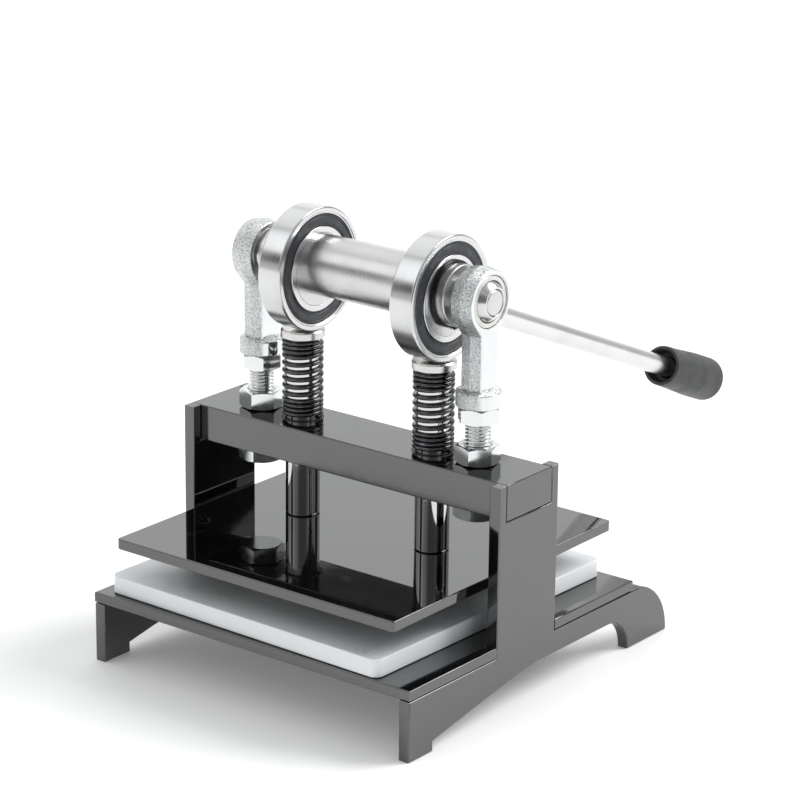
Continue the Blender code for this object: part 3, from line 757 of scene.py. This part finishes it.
def eye_cutters(centre):
    """The bore for the liner, and a shallow lip round it on both flanks."""
    bore_r = 14.2 * MM
    long = 20 * MM
    lip_r = 14.9 * MM
    lip_wide_r = 15.2 * MM
    lip_floor = EYE_FLANK - 0.3 * MM
    lip_end = 10 * MM
    bore = turned([(0, -long), (bore_r, -long), (bore_r, long), (0, long)])
    lip = fillet([(0, lip_floor), (lip_r, lip_floor), (lip_wide_r, lip_end), (0, lip_end)])
    outer_lip = make("tool", turned(lip), None, centre, ALONG_X)
    inner_lip = make("tool", turned(lip), None, centre, Matrix.Rotation(-pi / 2, 4, "Y"))
    return [make("tool", bore, None, centre, ALONG_X), outer_lip, inner_lip]


def build_housing(side, centre):
    """Forged in one: the eye, neck and collar are joined and then bored."""
    node = f"rod_end_housing_{side}"
    low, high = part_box(node)
    foot = low.z
    eye_r = high.z - SHAFT.z
    soft = 0.5 * MM
    rim_r = eye_r - 1.3 * MM
    eye = [(0, -EYE_FLANK), (rim_r, -EYE_FLANK, soft), (eye_r, 0), (rim_r, EYE_FLANK, soft),
           (0, EYE_FLANK)]
    body = make(f"rod_end_{side}", turned(fillet(eye), EXTRA_FINE), finish("zinc_cast"), centre,
                ALONG_X)
    collar_r = (high.x - low.x) / 2
    collar_rim = foot + 8.3 * MM
    collar_top = foot + 9.4 * MM
    collar = [(0, foot), (collar_r, foot, 0.8 * MM), (collar_r, collar_rim, 1 * MM),
              (collar_r - 2.6 * MM, collar_top), (0, collar_top)]
    axis = (centre.x, ZERO.y, 0)
    combine(body, [make("tool", turned(fillet(collar), 72), None, axis),
                   make("tool", neck_loft(foot + 7 * MM), None, axis)], "UNION")
    bolt_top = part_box(f"rod_bolt_{side}")[1].z
    combine(body, eye_cutters(centre) + [
        hole(centre.x, BOLT_HOLE_R, foot - PAST, foot + 8 * MM),
        hole(centre.x, 6.1 * MM, foot, bolt_top + 0.5 * MM)], smooth=9)
    done(body, "frame", "zinc_plate", node)


def build_liner(side, centre):
    """Bronze race with a hollow spherical inside."""
    node = f"rod_end_liner_{side}"
    race_r = 13 * MM
    edge = 0.4 * MM
    outer = size(node).z / 2
    half = size(node).x / 2
    race = [(sqrt(race_r ** 2 - x * x), x) for x in (half - i * half / 6 for i in range(13))]
    profile = [(outer, -half, edge), (outer, half, edge)] + race
    obj = make(f"liner_{side}", turned(fillet(profile, True), closed=True), finish("bronze"),
               centre, ALONG_X)
    done(obj, "frame", "bronze", node)


def build_rod_end_ball(side, centre):
    """A bored ball with flat flanks, on the shaft's journal."""
    node = f"rod_end_ball_{side}"
    bore_r = 7.15 * MM
    edge = 0.5 * MM
    radius = size(node).z / 2
    half = size(node).x / 2
    sphere = [(sqrt(radius ** 2 - x * x), x) for x in (half - i * half / 10 for i in range(21))]
    profile = [(bore_r, -half, edge), (bore_r, half, edge)] + sphere
    obj = make(f"ball_{side}", turned(fillet(profile, True), closed=True), finish("bearing_steel"),
               centre, ALONG_X)
    done(obj, "crank", "bearing_steel", node)


def build_rod_ends():
    for side in SIDES:
        centre = eye_centre(side)
        build_housing(side, centre)
        build_liner(side, centre)
        build_rod_end_ball(side, centre)


# Eccentric shaft, bearings and handle -----------------------------------------------------------

HANDLE_SLOPE = radians(22.6)  # below level, towards the back
LIE = Matrix.Rotation(-pi / 2 - HANDLE_SLOPE, 4, "X")
SHAFT_R = 16.6 * MM
JOURNAL_R = 6.9 * MM
COLLAR_R = 10 * MM
SHOULDER_X = 62.5 * MM        # where the shaft's full diameter ends, from its middle
COLLAR_X = 64.2 * MM
LOBE_R = 19.88 * MM
SOCKET_R = 6.25 * MM          # the handle's socket in the shaft

PITCH_R = 27 * MM             # the circle that the bearing's balls run on
GROOVE_R = 4.1 * MM
GROOVE_REACH = 3.5 * MM


def build_shaft():
    """Turned in one: a thick bar, a collar and a journal at each end, and two off-centre lobes."""
    tip = size("eccentric_shaft").x / 2
    half = fillet([(SHAFT_R, 0), (SHAFT_R, SHOULDER_X, 0.8 * MM), (COLLAR_R, SHOULDER_X),
                   (COLLAR_R, COLLAR_X, 0.4 * MM), (JOURNAL_R, COLLAR_X), (JOURNAL_R, tip, 0.9 * MM),
                   (0, tip)])
    rings = [(r, -x) for r, x in reversed(half)] + half[1:]
    shaft = make("shaft", turned(rings, EXTRA_FINE), finish("shaft_steel"), SHAFT, ALONG_X)
    tools = []
    for side in SIDES:
        face = size(f"bearing_inner_ring_{side}").x / 2
        lobe = turned([(0, -face), (LOBE_R, -face), (LOBE_R, face), (0, face)])
        tools.append(make("tool", lobe, None, BEARING[side], ALONG_X))
    combine(shaft, tools, "UNION")
    floor = -0.3 * MM
    mouth = 30 * MM
    socket = turned([(0, floor), (SOCKET_R, floor), (SOCKET_R, mouth), (0, mouth)], 64)
    combine(shaft, [make("tool", socket, None, SHAFT, LIE)])
    done(shaft, "crank", "polished_steel", "eccentric_shaft")


def groove_places():
    """Places across a bearing's ball groove, from one edge to the other."""
    return [GROOVE_REACH - 2 * GROOVE_REACH * i / 12 for i in range(13)]


def build_inner_ring(side, half, seat):
    inner_r = 20 * MM
    land = 23.3 * MM
    profile = [(inner_r, half, 0.15 * MM), (inner_r, -half, 0.15 * MM), (land, -half, 0.5 * MM),
               (land, -seat)]
    profile += [(PITCH_R - sqrt(GROOVE_R ** 2 - x * x), -x) for x in groove_places()]
    profile += [(land, seat), (land, half, 0.5 * MM)]
    obj = make(f"inner_ring_{side}", turned(fillet(profile, True), EXTRA_FINE, closed=True),
               finish("bearing_steel"), BEARING[side], ALONG_X)
    done(obj, "crank", "bearing_steel", f"bearing_inner_ring_{side}")


def build_outer_ring(side, half, seat):
    outer_r = size(f"bearing_outer_ring_{side}").z / 2
    land = 30.2 * MM
    step = 31.4 * MM
    step_foot = step - 0.5 * MM
    ledge = half - 0.35 * MM
    profile = [(outer_r, -half, 1.2 * MM), (outer_r, half, 1.2 * MM), (step, half, 0.25 * MM),
               (step_foot, ledge, 0.2 * MM), (land, ledge, 0.2 * MM), (land, seat)]
    profile += [(PITCH_R + sqrt(GROOVE_R ** 2 - x * x), x) for x in groove_places()]
    profile += [(land, -seat), (land, -ledge, 0.2 * MM), (step_foot, -ledge, 0.2 * MM),
                (step, -half, 0.25 * MM)]
    obj = make(f"outer_ring_{side}", turned(fillet(profile, True), EXTRA_FINE, closed=True),
               finish("bearing_steel"), BEARING[side], ALONG_X)
    done(obj, f"bearing_ring_{side}", "bearing_steel", f"bearing_outer_ring_{side}")


# A seal's section, from the lip at the inner ring out to the bead in the outer ring's groove:
# radius in mm, height as a share of half the thickness, radius of the corner in mm.
SEAL_SECTION = ((23.6, 0.2, 0.15), (24.3, 0.6, 0.2), (24.7, 0.1, 0.2), (25.1, 0.8, 0.2),
                (28.3, 0.9, 0.3), (28.7, 0.2, 0.2), (29.1, 1, 0.2), (29.9, 0.7, 0.2))


def build_seal(side, place, way):
    """The seal's ribbed face looks along X, in the direction of way."""
    node = f"bearing_seal_{side}_{place}"
    top = size(node).x / 2
    ribs = [(r * MM, top * share, corner * MM) for r, share, corner in SEAL_SECTION]
    profile = [(ribs[0][0], -top)] + ribs + [(ribs[-1][0], -top)]
    obj = make(f"seal_{side}_{place}", turned(fillet(profile, True), EXTRA_FINE, closed=True),
               finish("seal_rubber"), middle(node), Matrix.Rotation(way * pi / 2, 4, "Y"), smooth=50)
    done(obj, f"bearing_ring_{side}", "seal_rubber", node)


def build_bearing(side, sign):
    half = size(f"bearing_outer_ring_{side}").x / 2
    seat = half - 1.6 * MM
    build_inner_ring(side, half, seat)
    build_outer_ring(side, half, seat)
    build_seal(side, "inboard", -sign)
    build_seal(side, "outboard", sign)
    cage = bpy.data.objects[f"bearing_ball_cage_{side}"]
    cage.data.materials.clear()
    cage.data.materials.append(finish("bearing_steel"))


CLIP_TURN = radians(30)       # the retaining rings' opening, from straight down to the back


def clip_outline(inner_r, outer_r, lug_r):
    """An open ring with a lug at each side of the opening."""
    opening = radians(14)     # half of it
    lug = radians(13)
    down = -pi / 2 + CLIP_TURN
    outer = arc((0, 0), outer_r, down + opening + lug, down + 2 * pi - opening - lug, 72)
    inner = arc((0, 0), inner_r, down + 2 * pi - opening, down + opening, 72)
    right = arc((0, 0), lug_r, down + opening, down + opening + lug, 4)
    left = arc((0, 0), lug_r, down + 2 * pi - opening - lug, down + 2 * pi - opening, 4)
    return right + outer + left + inner


def build_retaining_rings():
    pin_r = 18.3 * MM         # the plier holes in the lugs
    pin_turn = radians(20.5)
    hole_r = 0.7 * MM
    reach = 5 * MM
    for side in SIDES:
        node = f"retaining_ring_{side}"
        low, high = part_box(node)
        outline = clip_outline(inner_r=15.95 * MM, outer_r=17.9 * MM, lug_r=19.9 * MM)
        bm = slab(outline, high.x - low.x, edge=0.25 * MM, steps=2)
        obj = make(f"clip_{side}", bm, finish("retaining_black"), (low.x, SHAFT.y, SHAFT.z), STAND)
        tools = []
        for turn in (-1, 1):
            a = -pi / 2 + CLIP_TURN + turn * pin_turn
            spot = Vector((low.x, SHAFT.y + pin_r * cos(a), SHAFT.z + pin_r * sin(a)))
            pin = turned([(0, -reach), (hole_r, -reach), (hole_r, reach), (0, reach)], 20)
            tools.append(make("tool", pin, None, spot, ALONG_X))
        combine(obj, tools)
        done(obj, "crank", "spring_steel", node)


def build_handle():
    """Rod and grip, both turned about the handle's own axis, which starts at the shaft's."""
    rod_r = size("handle_rod").x / 2
    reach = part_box("handle_rod")[1].y - SHAFT.y
    rod_end = (reach - rod_r * sin(HANDLE_SLOPE)) / cos(HANDLE_SLOPE)
    profile = [(0, 0), (rod_r, 0, 1 * MM), (rod_r, rod_end, 1 * MM), (0, rod_end)]
    obj = make("rod", turned(fillet(profile), 64), finish("handle_steel"), SHAFT, LIE)
    done(obj, "crank", "turned_steel", "handle_rod")

    back_r = size("handle_grip").x / 2
    front_r = back_r - 1.3 * MM
    start = 311 * MM
    end = 367 * MM
    mouth_r = 10.2 * MM
    bore = rod_r + GAP
    soft = 3.8 * MM
    profile = [(0, rod_end + GAP), (bore, rod_end + GAP), (bore, start + 8 * MM, 1 * MM),
               (mouth_r - 1 * MM, start + 7 * MM, 2 * MM), (mouth_r, start, 0.8 * MM),
               (front_r, start, 1.1 * MM), (front_r + 0.35 * MM, start + 14 * MM, 6 * MM),
               (back_r, end - 22 * MM, 10 * MM), (back_r, end, soft), (0, end)]
    obj = make("grip", turned(fillet(profile, steps=6), FINE), finish("grip_rubber"), SHAFT, LIE)
    done(obj, "crank", "grip_rubber", "handle_grip")


# Ram --------------------------------------------------------------------------------------------

SCREW_R = 4 * MM
SCREW_HOLE_R = 4.3 * MM
HEAD_HOLE_R = 8.3 * MM
KEY_R = 2.9 * MM              # the screws' hexagon socket, to its corners
KEY_DEPTH = 3 * MM


def build_press_plate():
    node = "press_plate"
    low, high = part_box(node)
    outline = rounded_rectangle(high.x - low.x, high.y - low.y, radius=2 * MM, steps=5)
    plate = make("plate", slab(outline, high.z - low.z, edge=0.6 * MM), finish("press_black"),
                 (middle(node).x, middle(node).y, low.z))
    sink = 4 * MM
    through = 12 * MM
    tools = []
    for side in SIDES:
        x = middle(f"pillar_{side}").x
        profile = [(0, -PAST), (HEAD_HOLE_R, -PAST), (HEAD_HOLE_R, 0), (SCREW_HOLE_R, sink),
                   (SCREW_HOLE_R, through), (0, through)]
        tools.append(make("tool", turned(profile, 64), None, (x, ZERO.y, low.z)))
    combine(plate, tools)
    done(plate, "ram", "press_black", node)
    for side in SIDES:
        build_screw(side)


def build_screw(side):
    """Countersunk from below, with a hexagon socket."""
    node = f"press_plate_screw_{side}"
    low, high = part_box(node)
    foot = (middle(node).x, middle(node).y, low.z)
    head = size(node).x / 2
    neck = head - SCREW_R + 0.3 * MM
    length = high.z - low.z
    profile = [(0, 0), (head, 0, 0.3 * MM), (SCREW_R, neck), (SCREW_R, length, 0.5 * MM), (0, length)]
    screw = make(f"screw_{side}", turned(fillet(profile), 64), finish("zinc_plate"), foot)
    key = turned([(0, -PAST), (KEY_R, -PAST), (KEY_R, KEY_DEPTH), (0, KEY_DEPTH)], 6)
    combine(screw, [make("tool", key, None, foot)])
    done(screw, "ram", "zinc_plate", node)


def build_pillar(side):
    """Bored from below for its screw, with a spigot for the cap on top."""
    node = f"pillar_{side}"
    low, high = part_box(node)
    bore_top = low.z + 16 * MM
    spigot_r = 6.7 * MM
    radius = size(node).x / 2
    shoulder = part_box(f"spring_cap_{side}")[0].z - GAP
    profile = [(0, bore_top), (SCREW_HOLE_R, bore_top), (SCREW_HOLE_R, low.z),
               (radius, low.z, 0.7 * MM), (radius, shoulder, 0.4 * MM), (spigot_r, shoulder),
               (spigot_r, high.z, 0.4 * MM), (0, high.z)]
    obj = make(f"post_{side}", turned(fillet(profile)), finish("polished_steel"),
               (middle(node).x, ZERO.y, 0))
    done(obj, "ram", "polished_steel", node)


def build_cap(side):
    """The disc that the bearing pushes on, hollow below for the pillar's spigot."""
    node = f"spring_cap_{side}"
    low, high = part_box(node)
    pocket_r = 7 * MM
    bevel = 0.9 * MM
    radius = size(node).x / 2
    pocket = low.z + 2.4 * MM
    profile = [(0, pocket), (pocket_r, pocket), (pocket_r, low.z), (radius, low.z, 0.3 * MM),
               (radius, high.z - bevel, 0.2 * MM), (radius - bevel, high.z, 0.3 * MM), (0, high.z)]
    obj = make(f"cap_{side}", turned(fillet(profile)), finish("turned_steel"),
               (middle(node).x, ZERO.y, 0))
    done(obj, "ram", "turned_steel", node)


def build_pillars():
    for side in SIDES:
        build_pillar(side)
        build_cap(side)


def build_springs():
    """Compression springs: close turns at both ends, open ones between."""
    wire = 1.2 * MM
    close_top = 3
    close_foot = 4
    open_turns = 6
    close_pitch = 2.5 * MM
    turns = close_top + open_turns + close_foot
    around = 44
    sides = 12
    for side in SIDES:
        node = f"return_spring_{side}"
        low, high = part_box(node)
        coil_r = size(node).x / 2 - wire
        open_h = high.z - low.z - 2 * wire - (close_top + close_foot) * close_pitch

        def height(turn):
            opened = min(max(turn - close_foot, 0), open_turns)
            return (turn - opened) * close_pitch + opened / open_turns * open_h

        bm = bmesh.new()
        rings = []
        for i in range(int(turns * around) + 1):
            turn = i / around
            a = 2 * pi * turn
            ring = []
            for k in range(sides):
                b = 2 * pi * k / sides
                r = coil_r + wire * cos(b)
                z = low.z + wire + height(turn) + wire * sin(b)
                ring.append(bm.verts.new((r * cos(a), r * sin(a), z)))
            rings.append(ring)
        for near, far in zip(rings, rings[1:]):
            for k in range(sides):
                m = (k + 1) % sides
                bm.faces.new((near[k], near[m], far[m], far[k]))
        bm.faces.new(rings[0])
        bm.faces.new(rings[-1])
        spot = Vector((middle(f"pillar_{side}").x, ZERO.y, 0))
        obj = make(f"spring_{side}", bm, finish("spring_steel"), spot, smooth=60)
        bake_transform(obj)
        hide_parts(node)


# Stage ------------------------------------------------------------------------------------------

def build_floor():
    """A pale floor that glows a little, just under the machine's feet."""
    below = -0.0001
    bm = bmesh.new()
    bmesh.ops.create_grid(bm, x_segments=1, y_segments=1, size=9)
    floor = Finish("floor", (0.93, 0.93, 0.93), 0.7)
    floor.vary_colour(floor.noise(3, 2), (0.95, 0.95, 0.95))
    floor.set("Emission Color", (1, 1, 1, 1))
    floor.set("Emission Strength", 0.12)
    obj = make("floor", bm, floor.mat, (0, 0, below))


def build_lights():
    """A soft key from the back right, so that the shadow falls to the front left."""
    elevation = radians(43)
    towards = Vector((-0.583, -0.752))
    level = 0.951             # the length of towards
    data = bpy.data.lights.new("key", "SUN")
    data.energy = 2.4
    data.angle = radians(34)
    key = bpy.data.objects.new("key", data)
    aim = Vector((towards.x * cos(elevation), towards.y * cos(elevation), -level * sin(elevation)))
    key.rotation_euler = aim.to_track_quat("-Z", "Y").to_euler()
    bpy.context.collection.objects.link(key)


# Parts of the studio's walls: direction, half-width and softness in degrees, brightness.
WALL_PATCHES = (
    ((-0.60, -0.05, 0.80), 30, 12, 1.1),
    ((-0.50, -0.62, 0.60), 17, 12, 1.5),
    ((-0.70, 0.65, 0.38), 34, 14, 1.25),
    ((0.583, -0.752, 0.16), 30, 12, 0.18),
    ((0.583, 0.752, 0.30), 12, 4, 0.03),
    ((-0.583, -0.752, 0.30), 8, 3, 0.04),
)
# Dark seams between the panels overhead: elevation towards the back in degrees, half-width, depth.
SEAMS = ((102, 2.5, 0.5), (40, 3.0, 0.4))
WALL = 0.6                    # brightness of the walls elsewhere
CAMERA_PLACE = Vector((1.0156, -1.2825, 0.6792))      # from the machine's zero


def build_world():
    """A white tent with brighter and darker patches and two seams overhead."""
    world = bpy.data.worlds.new("studio")
    bpy.context.scene.world = world
    world.use_nodes = True
    nodes = world.node_tree.nodes
    links = world.node_tree.links
    coords = nodes.new("ShaderNodeTexCoord").outputs["Generated"]

    def along(direction):
        dot = nodes.new("ShaderNodeVectorMath")
        dot.operation = "DOT_PRODUCT"
        dot.inputs[1].default_value = Vector(direction).normalized()
        links.new(coords, dot.inputs[0])
        return dot.outputs["Value"]

    def step(value, low, high, out_low=0.0, out_high=1.0):
        edge = nodes.new("ShaderNodeMapRange")
        edge.interpolation_type = "SMOOTHSTEP"
        for key, number in (("From Min", low), ("From Max", high),
                            ("To Min", out_low), ("To Max", out_high)):
            edge.inputs[key].default_value = number
        links.new(value, edge.inputs["Value"])
        return edge.outputs["Result"]

    wall = nodes.new("ShaderNodeValue")
    wall.outputs[0].default_value = WALL
    level = wall.outputs[0]
    for direction, width, soft, brightness in WALL_PATCHES:
        blend = nodes.new("ShaderNodeMix")
        inside = step(along(direction), cos(radians(width + soft)), cos(radians(width - soft)))
        links.new(inside, blend.inputs["Factor"])
        links.new(level, blend.inputs["A"])
        blend.inputs["B"].default_value = brightness
        level = blend.outputs["Result"]
    for angle, half, depth in SEAMS:
        a = radians(angle)
        inner = sin(radians(half - 1))
        outer = sin(radians(half + 1))
        across = nodes.new("ShaderNodeMath")
        across.operation = "ABSOLUTE"
        links.new(along((0, -sin(a), cos(a))), across.inputs[0])
        dim = nodes.new("ShaderNodeMath")
        dim.operation = "MULTIPLY"
        links.new(level, dim.inputs[0])
        links.new(step(across.outputs[0], inner, outer, 1 - depth, 1), dim.inputs[1])
        level = dim.outputs[0]
    background = nodes["Background"]
    background.inputs["Color"].default_value = (0.985, 0.995, 1, 1)
    links.new(level, background.inputs["Strength"])


def build_camera():
    """Long lens, a little above and to the right of the front."""
    azimuth = radians(37.76)
    elevation = radians(18.04)
    roll = 0.0113
    data = bpy.data.cameras.new("camera")
    data.sensor_width = 36
    data.lens = 144.64
    data.clip_end = 50
    camera = bpy.data.objects.new("camera", data)
    place = ZERO + CAMERA_PLACE
    turn = (Matrix.Rotation(azimuth, 4, "Z") @ Matrix.Rotation(pi / 2 - elevation, 4, "X")
            @ Matrix.Rotation(roll, 4, "Z"))
    camera.matrix_world = Matrix.Translation(place) @ turn
    bpy.context.collection.objects.link(camera)
    bpy.context.scene.camera = camera


build_camera()
build_side_plates()
build_base_plate()
build_beam()
build_bushes()
build_board()
build_bolts()
build_rod_ends()
build_shaft()
for side_name, side_sign in SIDES.items():
    build_bearing(side_name, side_sign)
build_retaining_rings()
build_handle()
build_press_plate()
build_pillars()
build_springs()
build_floor()
build_lights()
build_world()
bpy.context.scene.view_settings.view_transform = "Standard"
